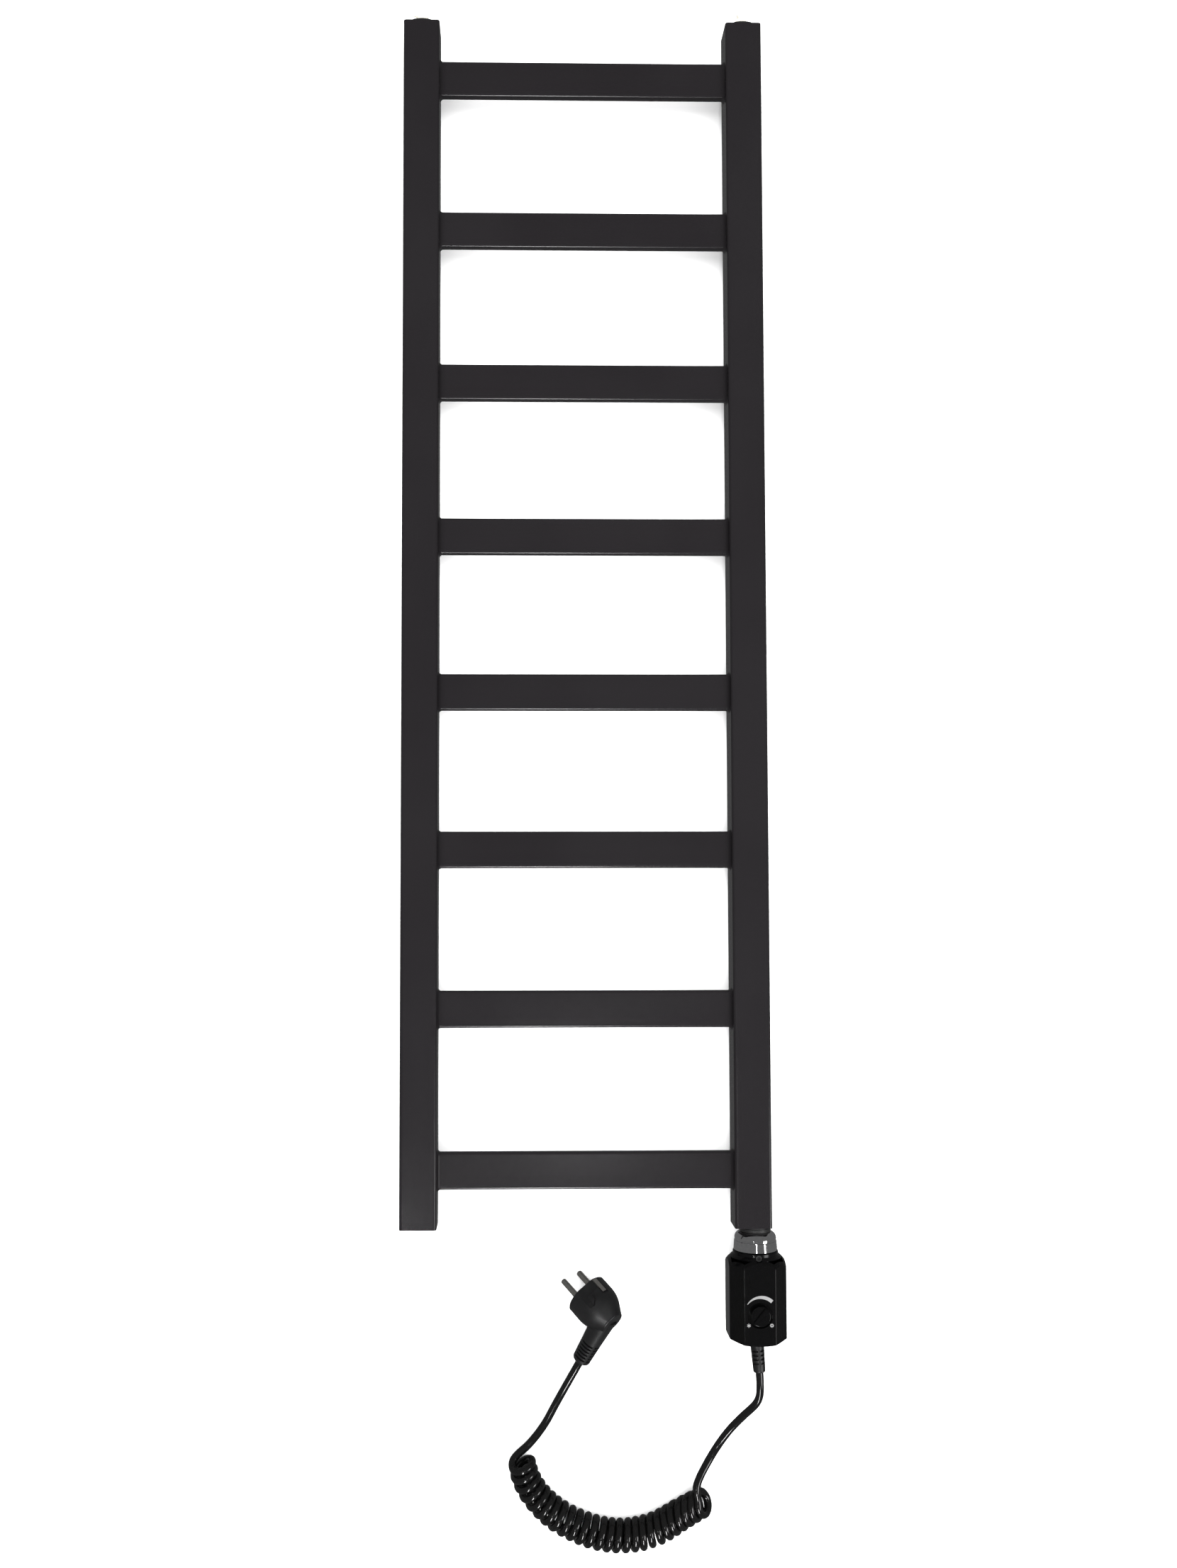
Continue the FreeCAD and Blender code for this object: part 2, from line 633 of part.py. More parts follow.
def dial_marks():
    """A growing arc, a cold mark and a warm mark, in thin raised print."""
    thick = 0.15

    def polar(radius, degrees):
        angle = math.radians(degrees)
        return (ELEMENT_X + radius * math.cos(angle), KNOB_Y + radius * math.sin(angle))

    arc = polygon_prism(
        [
            polar(13.3, 139),
            polar(13.35, 94) + ("via",),
            polar(13.1, 49),
            polar(15.9, 49),
            polar(15.6, 90) + ("via",),
            polar(13.8, 139),
        ],
        FACE_Z,
        thick,
    )
    cold_x, warm_x, mark_y = ELEMENT_X - 9.2, ELEMENT_X + 9.2, KNOB_Y - 7.6
    cold = rod_z(cold_x, mark_y, 0.75, FACE_Z, FACE_Z + thick)
    for k in range(3):
        arm = block(-1.6, 1.6, -0.28, 0.28, FACE_Z, FACE_Z + thick)
        arm.rotate(V(), Z, 60 * k + 30)
        arm.translate(V(cold_x, mark_y, 0))
        cold = cold.fuse(arm)
    warm = rod_z(warm_x, mark_y, 1.1, FACE_Z, FACE_Z + thick)
    for k in range(4):
        ray = block(-1.6, 1.6, -0.25, 0.25, FACE_Z, FACE_Z + thick)
        ray.rotate(V(), Z, 45 * k)
        ray.translate(V(warm_x, mark_y, 0))
        warm = warm.fuse(ray)
    warm = warm.cut(rod_z(warm_x, mark_y, 0.55, FACE_Z, FACE_Z + thick))
    return [arc, cold.removeSplitter(), warm.removeSplitter()]


# ---- cord and plug ----


def arc_at(before, corner, after):
    """The tangent arc at a corner of a route: its start, middle, end and radius."""
    back = before - corner
    ahead = after - corner
    trim = 0.45 * min(back.Length, ahead.Length)
    half_turn = (math.pi - back.getAngle(ahead)) / 2
    start = corner + back.normalize() * trim
    end = corner + ahead.normalize() * trim
    radius = trim / math.tan(half_turn)
    inward = ((start + end) * 0.5 - corner).normalize()
    middle = corner + inward * (radius / math.cos(half_turn) - radius)
    return start, middle, end, radius


def route_wire(route):
    """Straight runs joined by tangent arcs, and the arcs' radii."""
    edges = []
    radii = []
    last = route[0]
    for before, corner, after in zip(route, route[1:], route[2:]):
        start, middle, end, radius = arc_at(before, corner, after)
        edges.append(Part.LineSegment(last, start).toShape())
        edges.append(Part.Arc(start, middle, end).toShape())
        radii.append(radius)
        last = end
    edges.append(Part.LineSegment(last, route[-1]).toShape())
    return Part.Wire(edges), radii


def tube(route, radius):
    wire, _ = route_wire(route)
    section = Part.Wire(Part.makeCircle(radius, route[0], route[1] - route[0]))
    return Part.Solid(wire.makePipeShell([section], True, False))


def cord_tube(name, route, radius):
    """A tube, after printing its bend radii and how its volume compares with its length."""
    wire, radii = route_wire(route)
    solid = tube(route, radius)
    ratio = solid.Volume / (math.pi * radius**2 * wire.Length)
    rounded = [round(r, 1) for r in radii]
    print(name, "length", round(wire.Length, 1), "radii", rounded, "volume ratio", round(ratio, 4))
    return solid


def slotted_sleeve(length, start_radius, end_radius, first_row, rows, pitch):
    """A tapered sleeve along +Z, slotted across with four spines left standing."""
    core_radius = CORD_RADIUS + 0.6
    body = Part.makeCone(start_radius, end_radius, length)
    end_rim = [e for e in body.Edges if e.Closed and abs(e.CenterOfMass.z - length) < 0.01]
    body = body.makeFillet(1.2, end_rim)
    spines = [block(-20, 20, -1.0, 1.0, 0, length), block(-1.0, 1.0, -20, 20, 0, length)]
    kept = Part.makeCylinder(core_radius, length).fuse(spines)
    slots = []
    for row in range(rows):
        z = first_row + row * pitch
        slots.append(Part.makeCylinder(20, pitch * 0.5, V(0, 0, z)).cut(kept))
    return body.cut(slots)


def aimed(shape, origin, direction, turn=0.0):
    """Moves a shape built along +Z to start at origin and point along direction."""
    shape = shape.copy()
    shape.rotate(V(), Z, turn)
    shape.Placement = FreeCAD.Placement(origin, FreeCAD.Rotation(Z, direction)).multiply(shape.Placement)
    return shape


def relief_line():
    """Where the strain relief starts and the way it points."""
    lean = math.radians(RELIEF_LEAN)
    return V(ELEMENT_X, below(RELIEF_START), AXIS_Z), V(math.sin(lean), -math.cos(lean), 0)


def strain_relief():
    """The head's strain relief: a flange inside the shell and a leaning slotted sleeve outside."""
    root, way = relief_line()
    sleeve = slotted_sleeve(RELIEF_LENGTH, 5.8, 4.9, 13.8, 4, 3.3)
    flange = Part.makeCylinder(8.0, 2.0, V(0, 0, -2.0))
    return aimed(sleeve.fuse(flange).removeSplitter(), root, way)


PLUG_SIDE = PLUG_FORWARD.cross(PLUG_PIN_LINE).normalize()
PLUG_ACROSS = PLUG_SIDE.cross(PLUG_FORWARD).normalize()


def plug_placement():
    """From the plug's own axes (x through the pins, z out of the face) to where it lies."""
    a, b, c, o = PLUG_ACROSS, PLUG_SIDE, PLUG_FORWARD, PLUG_FACE
    rows = (a.x, b.x, c.x, o.x, a.y, b.y, c.y, o.y, a.z, b.z, c.z, o.z)
    return FreeCAD.Placement(FreeCAD.Matrix(*rows))


def lay_plug(shape):
    shape = shape.copy()
    shape.Placement = plug_placement().multiply(shape.Placement)
    return shape


def plug_cord_local():
    return V(PLUG_CORD.dot(PLUG_ACROSS), PLUG_CORD.dot(PLUG_SIDE), PLUG_CORD.dot(PLUG_FORWARD))


def face_marks():
    """The flat and the arrow window on the sides of the plug, cut to a depth of about a millimetre."""
    flat = block(-9.0, 9.0, 15.7, 22.0, -9.0, 1.0)
    flat.rotate(V(), Z, 148)
    window = [(5.4, -5.7), (5.1, -17.6), (1.2, -18.4), (-3.0, -15.6), (-6.1, -7.8)]
    arrow = [(1.3, -9.4), (1.3, -17.4), (-2.3, -14.6), (-2.6, -9.4)]
    cut = polygon_prism(window, 0, 6.0).cut(polygon_prism(arrow, 0, 6.0))
    cut.rotate(V(), X, 90)
    cut.translate(V(0, 22.6, 0))
    cut.rotate(V(), Z, 136)
    return flat, cut


def plug_body():
    """A round plug that narrows behind its face and turns into a slotted neck."""
    way = plug_cord_local()
    elbow = V(0, 0, -PLUG_ELBOW)
    profile = [
        (0, 0),
        (PLUG_RADIUS - 1.0, 0),
        (PLUG_RADIUS, -1.0),
        (PLUG_RADIUS, -12.5),
        (17.4, -18.8, "via"),
        (14.6, -25.5),
        (10.4, -PLUG_BACK + 1.5),
        (9.9, -PLUG_BACK + 0.4, "via"),
        (8.9, -PLUG_BACK),
        (0, -PLUG_BACK),
    ]
    face = Part.Face(outline(profile, lambda r, z: V(r, 0, z)))
    bell = face.revolve(V(), Z, 360)
    smooth_length = PLUG_NECK - PLUG_SLEEVE
    throat = aimed(Part.makeCone(10.0, 8.5, smooth_length), elbow, way)
    sleeve = slotted_sleeve(PLUG_SLEEVE, 8.5, 7.4, 2.6, 6, 3.2)
    neck = aimed(sleeve, elbow + way * smooth_length, way, 45)
    body = bell.fuse([throat, neck]).removeSplitter()
    cuts = [Part.makeCylinder(2.5, 15.0, V(0, 10.0, -15.0))]
    for side in (-1, 1):
        cuts.append(Part.makeCylinder(PIN_RADIUS, 10.0, V(side * PIN_SPACING / 2, 0, -10.0)))
        clip_y = (side * (PLUG_RADIUS - 1.0), side * (PLUG_RADIUS + 4.0))
        cuts.append(block(-3.0, 3.0, min(clip_y), max(clip_y), -15.5, 1.0))
        for mark in face_marks():
            mark.rotate(V(), Z, 0 if side > 0 else 180)
            cuts.append(mark)
    return lay_plug(body.cut(cuts))


def plug_pin(side):
    """A round pin with a rounded tip, set into the body."""
    x = side * PIN_SPACING / 2
    pin = Part.makeCylinder(PIN_RADIUS, PIN_LENGTH + 10.0, V(x, 0, -10.0))
    tip = [e for e in pin.Edges if e.Closed and abs(e.CenterOfMass.z - PIN_LENGTH) < 0.01]
    return lay_plug(pin.makeFillet(1.6, tip))


def earth_clip(side):
    """A sprung earth contact in the side of the plug."""
    y = side * (PLUG_RADIUS - 0.5)
    clip = block(-2.1, 2.1, y - 0.5, y + 0.5, -14.5, -0.6)
    outer = [e for e in clip.Edges if abs(e.CenterOfMass.y - (y + side * 0.5)) < 0.01 and e.Length < 5]
    return lay_plug(clip.makeFillet(0.7, outer))


def lead_route():
    """The lead, started where the strain relief ends."""
    root, way = relief_line()
    start = root + way * RELIEF_LENGTH
    return [start, start + way * CORD_STUB] + LEAD_ROUTE


def tail_route():
    """The tail, ended where the plug's neck ends."""
    end = PLUG_FACE - PLUG_FORWARD * PLUG_ELBOW + PLUG_CORD * PLUG_NECK
    return TAIL_ROUTE + [end + PLUG_CORD * CORD_STUB, end]


def build():
    os.makedirs("parts", exist_ok=True)
    save("left_post", post(-1))
    save("right_post", post(1))
    for index in range(RUNG_COUNT):
        save("rung_%d" % (index + 1), rung(index))
    save("weld_beads_left", [weld_bead(index, -1) for index in range(RUNG_COUNT)])
    save("weld_beads_right", [weld_bead(index, 1) for index in range(RUNG_COUNT)])
    cap_y = TOP_Y - CAP_THICKNESS
    caps = [end_cap(s, cap_y, CAP_THICKNESS, s * POST_X, VENT_THREAD_RADIUS) for s in (-1, 1)]
    save("top_caps", caps)
    save("bottom_cap", end_cap(-1, BOTTOM_Y, CAP_THICKNESS, 0, 0))
    save("element_bush", end_cap(1, BOTTOM_Y, BUSH_LENGTH, ELEMENT_X, ELEMENT_THREAD_RADIUS))
    save("threaded_inserts", [threaded_insert(point) for point in fixing_points()])
    save("wall_spacers", [wall_spacer(point) for point in fixing_points()])

    save("vent_plugs", [vent_plug(s * POST_X) for s in (-1, 1)])
    save("vent_seals", [vent_seal(s * POST_X) for s in (-1, 1)])
    save("vent_nozzle_left", vent_nozzle(-POST_X, 0))
    save("vent_nozzle_right", vent_nozzle(POST_X, 60))
    save("vent_screw_left", vent_screw(-POST_X))
    save("vent_screw_right", vent_screw(POST_X))

    save("element_gasket", element_gasket())
    save("element_cover", element_cover())
    save("element_adaptor", element_adaptor())
    save("heating_rod", closed_rod(ELEMENT_X - ROD_OFFSET, 4.75, below(14), 430.0))
    save("sensor_pocket", closed_rod(ELEMENT_X + POCKET_OFFSET, 2.0, below(14), 130.0))
    save("head_collar", head_collar())
    save("collar_set_screw", set_screw())

    front, rear = head_shells()
    save("head_front_shell", front)
    save("head_rear_shell", rear)
    save("housing_screws", [housing_screw(x, y) for x, y, _ in screw_columns(0)])
    save("thermostat_knob", knob())
    save("potentiometer_spindle", spindle())
    save("potentiometer_body", potentiometer())
    save("control_board", control_board())
    save("power_relay", power_relay())
    save("terminal_block", terminal_block())
    save("mains_cores", [mains_core(k) for k in (-1, 0, 1)])
    save("cord_clamp", cord_clamp())
    save("dial_marks", dial_marks())

    save("cord_strain_relief", strain_relief())
    save("cord_lead", cord_tube("cord_lead", lead_route(), CORD_RADIUS))
    save("cord_curl", cord_tube("cord_curl", CURL_ROUTE, CURL_RADIUS))
    save("cord_tail", cord_tube("cord_tail", tail_route(), CORD_RADIUS))
    save("plug_body", plug_body())
    save("plug_pins", [plug_pin(side) for side in (-1, 1)])
    save("plug_earth_clips", [earth_clip(side) for side in (-1, 1)])


build()
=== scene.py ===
import json
import math
import random

import bpy
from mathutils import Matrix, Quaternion, Vector


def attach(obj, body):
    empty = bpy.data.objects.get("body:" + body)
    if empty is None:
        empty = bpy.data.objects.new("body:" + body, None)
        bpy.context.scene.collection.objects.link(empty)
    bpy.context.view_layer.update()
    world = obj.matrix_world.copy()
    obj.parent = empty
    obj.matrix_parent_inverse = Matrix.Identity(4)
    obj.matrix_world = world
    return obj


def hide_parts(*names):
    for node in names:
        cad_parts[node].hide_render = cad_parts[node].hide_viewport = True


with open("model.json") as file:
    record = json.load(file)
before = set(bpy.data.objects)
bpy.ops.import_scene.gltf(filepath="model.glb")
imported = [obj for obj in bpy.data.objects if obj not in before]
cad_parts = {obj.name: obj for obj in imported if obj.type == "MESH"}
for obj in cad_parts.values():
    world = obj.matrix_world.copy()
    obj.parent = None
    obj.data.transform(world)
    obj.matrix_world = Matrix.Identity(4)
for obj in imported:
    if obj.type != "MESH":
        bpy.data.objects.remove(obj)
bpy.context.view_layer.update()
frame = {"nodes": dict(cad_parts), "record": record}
NODES = frame["nodes"]
UPWARD = Vector((0, 0, 1))
RANDOM_SEED = 11
random.seed(RANDOM_SEED)

# ---------------------------------------------------------------- camera

CAMERA_PLACE = (-0.0551, -0.2232, 1.25)
# A turn from looking straight down, as an axis whose length is the angle.
CAMERA_TURN = Vector((0.05509, -0.01891, -0.00081))
CAMERA_LENS = 33.9
SENSOR_WIDTH = 36
CAMERA_SHIFT = (0.0276, 0.0120)
CLIP_NEAR, CLIP_FAR = 0.05, 50

camera_data = bpy.data.cameras.new("camera")
camera = bpy.data.objects.new("camera", camera_data)
bpy.context.scene.collection.objects.link(camera)
camera.location = CAMERA_PLACE
camera.rotation_mode = "QUATERNION"
camera.rotation_quaternion = Quaternion(CAMERA_TURN.normalized(), CAMERA_TURN.length)
camera_data.lens = CAMERA_LENS
camera_data.sensor_width = SENSOR_WIDTH
camera_data.shift_x, camera_data.shift_y = CAMERA_SHIFT
camera_data.clip_start = CLIP_NEAR
camera_data.clip_end = CLIP_FAR
bpy.context.scene.camera = camera
bpy.context.scene.view_settings.view_transform = "Standard"

# ---------------------------------------------------------------- cord

CORD_RADIUS = 0.0032
CURL_RADIUS = 0.0135
MEAN_RADIUS = CURL_RADIUS - CORD_RADIUS

# The helix starts and ends at these angles: 0 faces the ladder and 90 degrees is the top.
START_ANGLE = math.radians(62)
END_ANGLE = math.radians(165)
WHOLE_TURNS = 25
SWEEP = 2 * math.pi * WHOLE_TURNS + END_ANGLE - START_ANGLE
TURNS = SWEEP / (2 * math.pi)
POINTS_PER_TURN = 14
# A quadratic spline runs inside its control points by this factor round a circle.
SPLINE_SHRINK = 0.75 + 0.25 * math.cos(2 * math.pi / POINTS_PER_TURN)

# Turns near the two ends lean, and shrink towards the ends from the widest place.
LEAD_LEAN = math.radians(42)
TAIL_LEAN = math.radians(18)
LEANING_TURNS = 9.0
END_TAPER = 0.11
WIDEST_SHARE = 0.45
# All turns fan out from the one that stands square to the curl.
FULL_SLANT = math.radians(28)
UPRIGHT_SHARE = 0.4
# Shares of the curl's length: left free at each end, and by how much the pitch drifts.
END_MARGIN = 0.006
PITCH_DRIFT = 0.05
# Small unevenness from turn to turn: how many random pairs, along the curl, and in radius.
WOBBLES = 30
WOBBLE_ALONG = 0.0004
WOBBLE_ACROSS = 0.012

LEAD_ROUTE = [
    (0.14068, -0.61740, 0.0350),
    (0.14160, -0.62937, 0.0350),
    (0.1405, -0.6425, 0.0320),
    (0.1290, -0.6565, 0.0225),
    (0.1182, -0.6710, 0.0145),
    (0.1083, -0.6857, 0.0115),
    (0.0983, -0.7005, 0.0140),
    (0.0897, -0.7133, 0.0210),
]
CURL_ROUTE = [
    (-0.0520, -0.6948, 0.0119),
    (-0.0490, -0.7108, 0.0125),
    (-0.0300, -0.7342, 0.0132),
    (-0.0007, -0.7500, 0.0137),
    (0.0285, -0.7560, 0.0137),
    (0.0575, -0.7510, 0.0136),
    (0.0830, -0.7355, 0.0130),
    (0.0997, -0.7277, 0.0128),
]
TAIL_ROUTE = [
    (-0.0596, -0.6965, 0.0098),
    (-0.0560, -0.6921, 0.0076),
    (-0.0450, -0.6843, 0.0048),
    (-0.0327, -0.6695, 0.0034),
    (-0.0243, -0.6540, 0.0033),
    (-0.0156, -0.6385, 0.0044),
    (-0.00747, -0.62328, 0.00793),
    (-0.00265, -0.61333, 0.0126),
]

# How fine the tube's ring is, and how fine the line is that the turns are wound round.
RING_DETAIL = 5
GUIDE_RESOLUTION = 40


def spline_curve(name, points, radius=0.0, resolution=12):
    """A curve object of one open spline with these control points.

    The tube's radius is the points' own, so that the object's box allows for it.
    """
    data = bpy.data.curves.new(name, "CURVE")
    data.dimensions = "3D"
    data.resolution_u = resolution
    data.bevel_depth = 1.0 if radius > 0 else 0.0
    data.bevel_resolution = RING_DETAIL
    data.use_fill_caps = radius > 0
    spline = data.splines.new("NURBS")
    spline.points.add(len(points) - 1)
    for point, place in zip(spline.points, points):
        point.co = (*place, 1)
        point.radius = radius
    spline.order_u = 3
    spline.use_endpoint_u = True
    made = bpy.data.objects.new(name, data)
    bpy.context.scene.collection.objects.link(made)
    return made


def smooth_line(points):
    """Points along the spline that has these control points."""
    guide = spline_curve("guide", points, resolution=GUIDE_RESOLUTION)
    mesh = bpy.data.meshes.new_from_object(guide)
    line = [v.co.copy() for v in mesh.vertices]
    bpy.data.meshes.remove(mesh)
    bpy.data.objects.remove(guide)
    return line


def along(line, fraction):
    """The place and the direction at a fraction of a line's length."""
    steps = [(b - a).length for a, b in zip(line, line[1:])]
    target = fraction * sum(steps)
    for i, step in enumerate(steps):
        if target <= step or i == len(steps) - 1:
            start, end = line[i], line[i + 1]
            return start.lerp(end, target / step), (end - start).normalized()
        target -= step


def helix_points():
    """The curl's turns, wound from its right end, where the lead comes in, to its left end."""
    middle = smooth_line(list(reversed(CURL_ROUTE)))
    count = round(TURNS * POINTS_PER_TURN)
    wobble = [(random.uniform(-1, 1), random.uniform(-1, 1)) for _ in range(WOBBLES)]
    points = []
    for i in range(count + 1):
        share = i / count
        turn = share * TURNS
        low = wobble[int(turn)]
        high = wobble[int(turn) + 1]
        mix = turn - int(turn)
        shift = low[0] + (high[0] - low[0]) * mix
        swell = low[1] + (high[1] - low[1]) * mix
        # The turns lie a little wider apart towards the left end.
        drifted = share - PITCH_DRIFT * share * (1 - share)
        inset = END_MARGIN + (1 - 2 * END_MARGIN) * drifted
        centre, way = along(middle, inset)
        side = way.cross(UPWARD).normalized()
        # The turns fan out: their inner sides lie nearer to the curl's two ends.
        fan = Quaternion(UPWARD, FULL_SLANT * (share - UPRIGHT_SHARE))
        side, way = fan @ side, fan @ way
        # The turns near either end lean back into the curl.
        lean = LEAD_LEAN * max(0, 1 - turn / LEANING_TURNS)
        lean -= TAIL_LEAN * max(0, 1 - (TURNS - turn) / LEANING_TURNS)
        up = Quaternion(side, -lean) @ side.cross(way)
        taper = 1 - END_TAPER * (2 * (share - WIDEST_SHARE)) ** 2
        radius = MEAN_RADIUS / SPLINE_SHRINK * taper * (1 + WOBBLE_ACROSS * swell)
        angle = START_ANGLE + share * SWEEP
        spoke = side * math.cos(angle) + up * math.sin(angle)
        points.append(centre + way * WOBBLE_ALONG * shift + spoke * radius)
    return points


cord_points = LEAD_ROUTE + [tuple(p) for p in helix_points()] + TAIL_ROUTE
mains_cord = spline_curve("mains_cord", cord_points, CORD_RADIUS, resolution=5)
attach(mains_cord, "rack")
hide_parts("cord_lead", "cord_curl", "cord_tail")

# ---------------------------------------------------------------- materials

# How deep the bumps of fine and coarse grain are.
FINE_GRAIN = 0.00002
COARSE_GRAIN = 0.00006


class Surface:
    """A node material built round one Principled shader."""

    def __init__(self, name, metallic=0.0, specular=0.5):
        self.material = bpy.data.materials.new(name)
        self.material.use_nodes = True
        self.nodes = self.material.node_tree.nodes
        self.links = self.material.node_tree.links
        self.shader = self.nodes["Principled BSDF"]
        self.shader.inputs["Metallic"].default_value = metallic
        self.shader.inputs["Specular IOR Level"].default_value = specular
        self.place = self.nodes.new("ShaderNodeTexCoord").outputs["Object"]

    def noise(self, scale, detail, stretch=(1, 1, 1)):
        """A noise in the object's own metres: the larger its scale, the finer it is."""
        mapping = self.nodes.new("ShaderNodeMapping")
        mapping.inputs["Scale"].default_value = stretch
        self.links.new(self.place, mapping.inputs["Vector"])
        noise = self.nodes.new("ShaderNodeTexNoise")
        noise.inputs["Scale"].default_value = scale
        noise.inputs["Detail"].default_value = detail
        self.links.new(mapping.outputs["Vector"], noise.inputs["Vector"])
        return noise.outputs["Fac"]

    def spread(self, value, low, high, lower=0.3, upper=0.7):
        """Maps a value from a noise onto a range."""
        node = self.nodes.new("ShaderNodeMapRange")
        node.inputs["From Min"].default_value = lower
        node.inputs["From Max"].default_value = upper
        node.inputs["To Min"].default_value = low
        node.inputs["To Max"].default_value = high
        self.links.new(value, node.inputs["Value"])
        return node.outputs["Result"]

    def colour(self, value, dark, light, lower=0.3, upper=0.7):
        """The base colour, mixed from two shades by a noise."""
        ramp = self.nodes.new("ShaderNodeValToRGB")
        ramp.color_ramp.elements[0].position = lower
        ramp.color_ramp.elements[1].position = upper
        ramp.color_ramp.elements[0].color = (*dark, 1)
        ramp.color_ramp.elements[1].color = (*light, 1)
        self.links.new(value, ramp.inputs["Fac"])
        self.links.new(ramp.outputs["Color"], self.shader.inputs["Base Color"])

    def roughness(self, value, low, high):
        """The roughness, varied by a noise."""
        self.links.new(self.spread(value, low, high), self.shader.inputs["Roughness"])

    def bump(self, *layers):
        """Adds bumps. Each layer is a value, its depth in metres and its strength."""
        last = None
        for value, depth, strength in layers:
            node = self.nodes.new("ShaderNodeBump")
            node.inputs["Distance"].default_value = depth
            node.inputs["Strength"].default_value = strength
            self.links.new(value, node.inputs["Height"])
            if last is not None:
                self.links.new(last, node.inputs["Normal"])
            last = node.outputs["Normal"]
        self.links.new(last, self.shader.inputs["Normal"])


def powder_coat():
    """A satin coat with a fine grain on a faint orange peel."""
    s = Surface("powder_coat_satin", specular=0.45)
    cloud = s.noise(9, 2)
    grain = s.noise(1900, 2)
    peel = s.noise(420, 2)
    s.colour(cloud, (0.0068, 0.0060, 0.0068), (0.0080, 0.0072, 0.0080), 0.35, 0.65)
    s.roughness(grain, 0.18, 0.22)
    s.bump((peel, COARSE_GRAIN, 0.25), (grain, 0.5 * COARSE_GRAIN, 0.3))
    return s.material


def gloss_plastic(name, shade, rough, specular=0.5):
    """A polished moulding with faint flow marks and dust."""
    s = Surface(name, specular=specular)
    flow = s.noise(160, 2)
    dust = s.noise(2600, 3)
    s.colour(flow, tuple(c * 0.85 for c in shade), tuple(c * 1.15 for c in shade))
    s.roughness(dust, rough * 0.85, rough * 1.2)
    s.bump((flow, 2 * FINE_GRAIN, 0.12))
    return s.material


def grained_plastic(name, shade, rough, grain_scale=2200, depth=COARSE_GRAIN):
    """A moulding or a rubber with a spark-eroded grain."""
    s = Surface(name)
    cloud = s.noise(120, 3)
    grain = s.noise(grain_scale, 4)
    s.colour(cloud, tuple(c * 0.8 for c in shade), tuple(c * 1.2 for c in shade))
    s.roughness(grain, rough * 0.85, min(1, rough * 1.15))
    s.bump((grain, depth, 0.5))
    return s.material


def metal(name, dark, light, rough, stretch=(1, 1, 1)):
    """A metal with drawn or plated texture, stretched along one axis where it is drawn."""
    s = Surface(name, metallic=1.0)
    lines = s.noise(600, 3, stretch)
    s.colour(lines, dark, light)
    s.roughness(lines, rough * 0.8, rough * 1.3)
    s.bump((lines, FINE_GRAIN, 0.3))
    return s.material


# How wide the last band is, in metres. Its colour carries on beyond it.
LAST_BAND = 0.001


def coloured_by_place(name, bands, axis, rough):
    """A plastic whose colour changes at steps along one axis.

    Each band is the place where it starts and its colour.
    """
    s = Surface(name)
    split = s.nodes.new("ShaderNodeSeparateXYZ")
    s.links.new(s.place, split.inputs["Vector"])
    low, high = bands[0][0], bands[-1][0] + LAST_BAND
    fraction = s.spread(split.outputs[axis], 0, 1, low, high)
    ramp = s.nodes.new("ShaderNodeValToRGB")
    ramp.color_ramp.interpolation = "CONSTANT"
    while len(ramp.color_ramp.elements) < len(bands):
        ramp.color_ramp.elements.new(1.0)
    for element, (edge, colour) in zip(ramp.color_ramp.elements, bands):
        element.position = (edge - low) / (high - low)
        element.color = (*colour, 1)
    s.links.new(fraction, ramp.inputs["Fac"])
    s.links.new(ramp.outputs["Color"], s.shader.inputs["Base Color"])
    grain = s.noise(1800, 2)
    s.roughness(grain, rough * 0.9, rough * 1.1)
    s.bump((grain, FINE_GRAIN, 0.3))
    return s.material


MATERIALS = {
    "powder_coat": powder_coat(),
    "black_metal": gloss_plastic("black_coated_metal", (0.012, 0.012, 0.012), 0.35),
    "zinc_steel": metal("zinc_steel", (0.42, 0.42, 0.40), (0.55, 0.55, 0.52), 0.32),
    "stainless": metal("stainless", (0.45, 0.45, 0.45), (0.58, 0.58, 0.57), 0.28, (1, 0.03, 1)),
    "nickel": metal("bright_nickel", (0.66, 0.64, 0.60), (0.76, 0.74, 0.70), 0.14),
    "chrome": metal("mirror_chrome", (0.78, 0.78, 0.79), (0.86, 0.86, 0.87), 0.05),
    "brass": metal("turned_brass", (0.60, 0.42, 0.17), (0.72, 0.53, 0.24), 0.25),
    "seal_rubber": grained_plastic("seal_rubber", (0.010, 0.010, 0.010), 0.45, 900),
    "gloss_black": gloss_plastic("gloss_black", (0.0010, 0.0010, 0.0011), 0.16, 0.3),
    "matte_black": grained_plastic("matte_black", (0.0045, 0.0045, 0.0047), 0.38),
    "cord_black": gloss_plastic("cord_black", (0.0018, 0.0018, 0.0018), 0.13, specular=0.75),
    "pale_plastic": grained_plastic("pale_plastic", (0.72, 0.69, 0.60), 0.45),
    "white_print": grained_plastic("white_print", (0.16, 0.16, 0.16), 0.5, 3000, FINE_GRAIN),
    "board_green": grained_plastic("board_green", (0.03, 0.14, 0.05), 0.4, 700),
    "relay_blue": grained_plastic("relay_blue", (0.03, 0.08, 0.30), 0.45),
    "terminal_grey": grained_plastic("terminal_grey", (0.30, 0.31, 0.32), 0.5),
    "core_sleeves": coloured_by_place(
        "core_sleeves",
        [
            (0.125, (0.16, 0.07, 0.02)),
            (0.1369, (0.25, 0.30, 0.03)),
            (0.1395, (0.03, 0.10, 0.35)),
        ],
        "X",
        0.4,
    ),
}


def dress(obj, slot):
    """Gives an object the material of a slot alone."""
    obj.data.materials.clear()
    obj.data.materials.append(MATERIALS[slot])


for part in frame["record"]["subparts"]:
    if part["node"] in NODES:
        dress(NODES[part["node"]], part["material_slot"])
dress(mains_cord, "cord_black")

# ---------------------------------------------------------------- stage and light

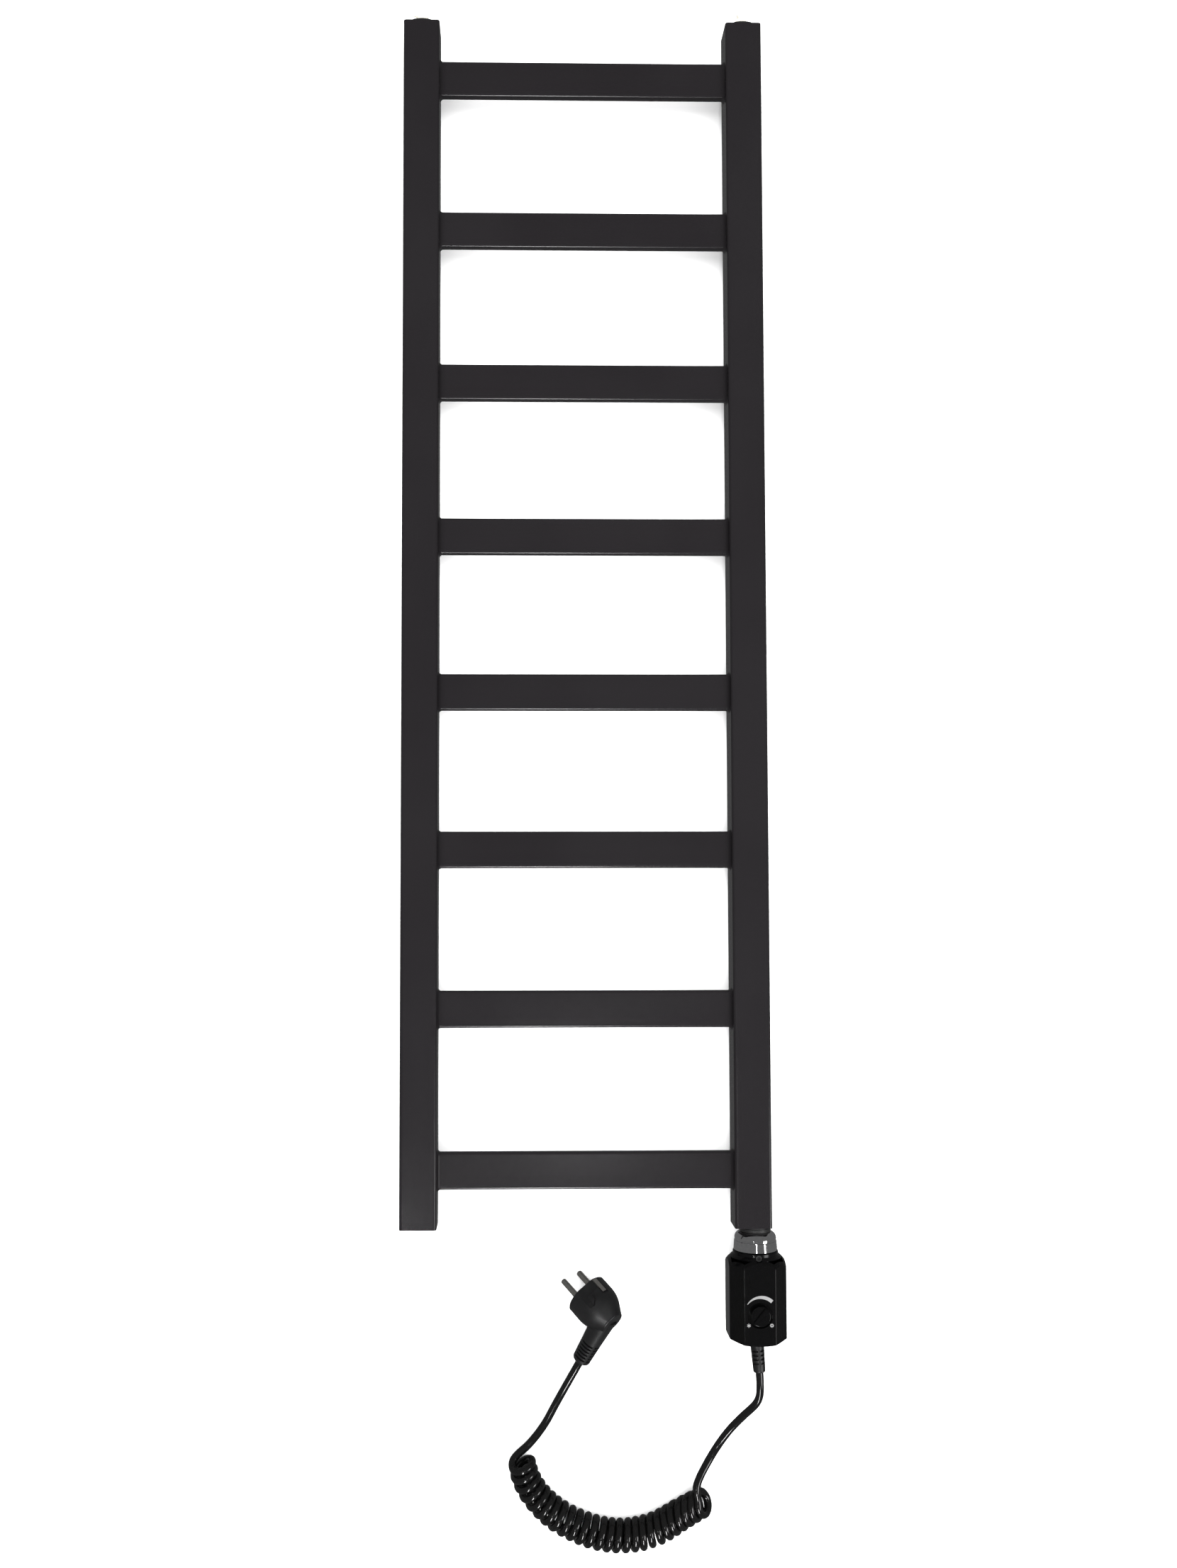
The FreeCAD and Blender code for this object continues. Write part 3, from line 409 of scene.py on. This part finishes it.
FLOOR_REACH = 6.0
CORNERS = ((-1, -1), (1, -1), (1, 1), (-1, 1))
floor_mesh = bpy.data.meshes.new("floor")
floor_corners = [(x * FLOOR_REACH, y * FLOOR_REACH, 0) for x, y in CORNERS]
floor_mesh.from_pydata(floor_corners, [], [(0, 1, 2, 3)])
floor = bpy.data.objects.new("floor", floor_mesh)
bpy.context.scene.collection.objects.link(floor)
floor_look = Surface("floor_white", specular=0.0)
floor_look.colour(floor_look.noise(3, 2), (0.96, 0.96, 0.96), (0.97, 0.97, 0.97))
floor_look.shader.inputs["Roughness"].default_value = 1.0
floor_mesh.materials.append(floor_look.material)
# The floor is left out of reflections, which keeps the gloss as black as in the photo.
floor.visible_glossy = False


def softbox(name, place, aim, size, power, shows=True):
    """A light panel that points at aim. One that doesn't show is left out of reflections."""
    data = bpy.data.lights.new(name, "AREA")
    data.shape = "RECTANGLE"
    data.size, data.size_y = size
    data.energy = power
    light = bpy.data.objects.new(name, data)
    bpy.context.scene.collection.objects.link(light)
    light.location = place
    light.rotation_mode = "QUATERNION"
    light.rotation_quaternion = (Vector(aim) - Vector(place)).to_track_quat("-Z", "Y")
    light.visible_glossy = shows


# Name, place, aim, size in metres and power in watts.
softbox("ceiling_fill", (0, 0, 3.0), (0, 0, 0), (4.5, 4.5), 390, shows=False)
softbox("front_strip", (0.0, -2.3, 1.7), (0, -0.2, 0), (0.2, 1.2), 28)
softbox("key", (0.08, -0.75, 2.3), (0, -0.2, 0), (0.09, 0.09), 0.45)
softbox("right_window", (1.32, -1.05, 1.15), (0.1, -0.5, 0), (0.7, 0.6), 8)
softbox("left_lamp", (-0.45, -1.1, 2.0), (0.1, -0.6, 0), (0.12, 0.12), 1.5)

SKY_STRENGTH = 0.13
world = bpy.data.worlds.new("studio")
bpy.context.scene.world = world
world.use_nodes = True
sky = world.node_tree.nodes["Background"]
sky.inputs["Color"].default_value = (1, 1, 1, 1)
sky.inputs["Strength"].default_value = SKY_STRENGTH

# ---------------------------------------------------------------- last update of the scene

bpy.context.view_layer.update()
